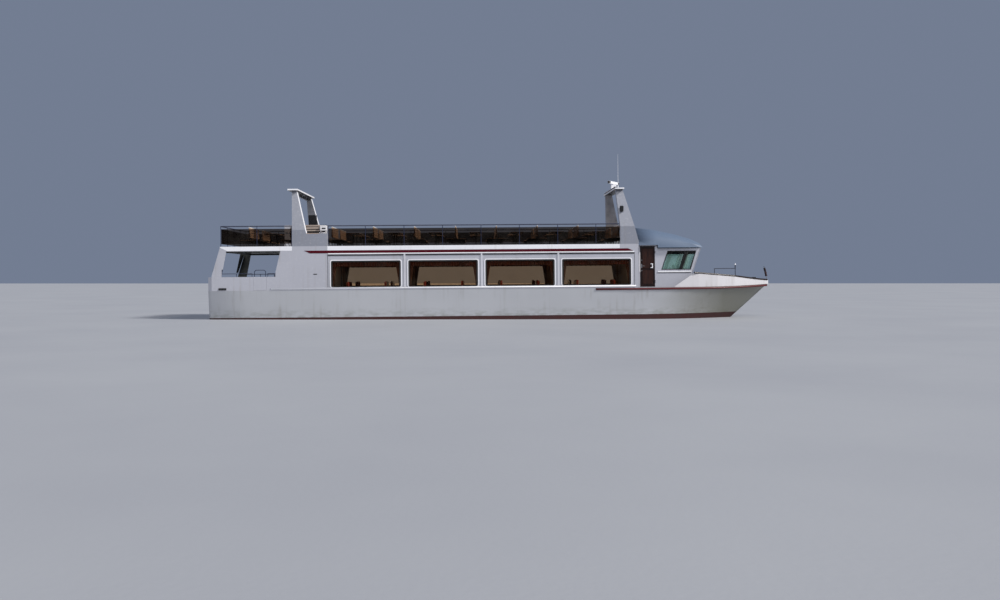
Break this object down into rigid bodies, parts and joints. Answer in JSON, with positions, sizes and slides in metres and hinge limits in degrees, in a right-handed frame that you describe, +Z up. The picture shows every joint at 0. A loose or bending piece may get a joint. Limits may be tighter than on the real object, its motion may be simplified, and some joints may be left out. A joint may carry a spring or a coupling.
{
  "type": "passenger ferry",
  "caption": "Double-decked passenger ferry with a closed saloon under large windows, open railed sun deck, portal arches, raked wheelhouse with domed roof and full hull.",
  "frame": {"origin": "midway between the transom and the stem head, on the centreline, at the design waterline", "axes": "+X forward to the bow, +Y to port, +Z up"},
  "size_m": [28.3, 5.18, 9.38],
  "materials": {
    "hull_white": "satin paint, dark red boot-top and bottom below the waterline",
    "white_paint": "satin white paint",
    "crimson_paint": "satin crimson paint",
    "navy_paint": "dark blue painted tube",
    "dark_screen": "smoked acrylic pane",
    "bronze_glass": "bronze-tinted pane",
    "green_glass": "green-tinted pane",
    "roof_paint": "blue-grey paint",
    "door_paint": "dark brown varnished door",
    "saloon_furniture": "dark red upholstery and wood",
    "steel": "brushed stainless steel",
    "bronze": "cast propeller bronze",
    "black_fitting": "semi-matt black",
    "bottom_red": "antifouling",
    "bench_wood": "oiled wooden slats on painted frames"
  },
  "bodies": {
    "ferry": {"aft_arch_leg_port": "white_paint", "aft_arch_leg_starboard": "white_paint", "aft_arch_roof": "white_paint", "aft_side_port": "white_paint", "aft_side_starboard": "white_paint", "bow_bollard_port": "black_fitting", "bow_bollard_starboard": "black_fitting", "bow_bulwark": "white_paint", "bow_rail": "steel", "bow_strake_port": "crimson_paint", "bow_strake_starboard": "crimson_paint", "companionway_stairs": "white_paint", "foredeck_hatch": "white_paint", "forward_arch_leg_port": "white_paint", "forward_arch_leg_starboard": "white_paint", "forward_arch_roof": "white_paint", "helm_console": "black_fitting", "helm_seat": "black_fitting", "hull": "hull_white", "jackstaff": "steel", "radar_pedestal": "white_paint", "saloon_aft_bulkhead": "white_paint", "saloon_front_bulkhead": "white_paint", "saloon_glazing_port": "bronze_glass", "saloon_glazing_starboard": "bronze_glass", "saloon_seating": "saloon_furniture", "saloon_side_port": "white_paint", "saloon_side_starboard": "white_paint", "side_moulding_port": "white_paint", "side_moulding_starboard": "white_paint", "side_stripe_port": "crimson_paint", "side_stripe_starboard": "crimson_paint", "stern_bulwark": "white_paint", "stern_rail": "navy_paint", "stern_screen": "dark_screen", "sun_deck_rail_port": "navy_paint", "sun_deck_rail_starboard": "navy_paint", "sun_deck_screen_port": "dark_screen", "sun_deck_screen_starboard": "dark_screen", "sun_deck_seating_port": "bench_wood", "sun_deck_seating_starboard": "bench_wood", "upper_deck": "white_paint", "wheelhouse_front": "white_paint", "wheelhouse_front_glazing": "green_glass", "wheelhouse_roof": "roof_paint", "wheelhouse_side_glazing_port": "green_glass", "wheelhouse_side_glazing_starboard": "green_glass", "wheelhouse_side_port": "white_paint", "wheelhouse_side_starboard": "white_paint", "whip_antenna": "white_paint", "windlass": "steel"},
    "radar_scanner": {"radar_scanner": "white_paint"},
    "wheelhouse_door_starboard": {"wheelhouse_door_starboard": "door_paint"},
    "wheelhouse_door_port": {"wheelhouse_door_port": "door_paint"},
    "saloon_door": {"saloon_door": "door_paint"},
    "bulwark_gate_starboard": {"bulwark_gate_starboard": "white_paint"},
    "bulwark_gate_port": {"bulwark_gate_port": "white_paint"},
    "propeller": {"propeller": "bronze"},
    "rudder": {"rudder": "bottom_red"}
  },
  "joints": [
    {"name": "radar_turn", "type": "hinge", "parent": "ferry", "child": "radar_scanner", "pos_m": [6.09, 0, 6.84], "axis": [0, 0, 1], "continuous": true},
    {"name": "propeller_turn", "type": "hinge", "parent": "ferry", "child": "propeller", "pos_m": [-12.58, 0, -0.72], "axis": [1, 0, 0], "continuous": true},
    {"name": "rudder_turn", "type": "hinge", "parent": "ferry", "child": "rudder", "pos_m": [-13.2, 0, -0.7], "axis": [0, 0, 1], "range_deg": [-35, 35]},
    {"name": "wheelhouse_door_starboard_swing", "type": "hinge", "parent": "ferry", "child": "wheelhouse_door_starboard", "pos_m": [7.855, -1.922, 2.5], "axis": [0, 0, 1], "range_deg": [0, 100]},
    {"name": "wheelhouse_door_port_swing", "type": "hinge", "parent": "ferry", "child": "wheelhouse_door_port", "pos_m": [7.855, 1.922, 2.5], "axis": [0, 0, -1], "range_deg": [0, 100]},
    {"name": "saloon_door_swing", "type": "hinge", "parent": "ferry", "child": "saloon_door", "pos_m": [-8.482, -0.4, 2.1], "axis": [0, 0, 1], "range_deg": [0, 100]},
    {"name": "bulwark_gate_starboard_swing", "type": "hinge", "parent": "ferry", "child": "bulwark_gate_starboard", "pos_m": [-11.295, -2.478, 1.85], "axis": [0, 0, -1], "range_deg": [0, 90]},
    {"name": "bulwark_gate_port_swing", "type": "hinge", "parent": "ferry", "child": "bulwark_gate_port", "pos_m": [-11.295, 2.478, 1.85], "axis": [0, 0, 1], "range_deg": [0, 90]}
  ]
}
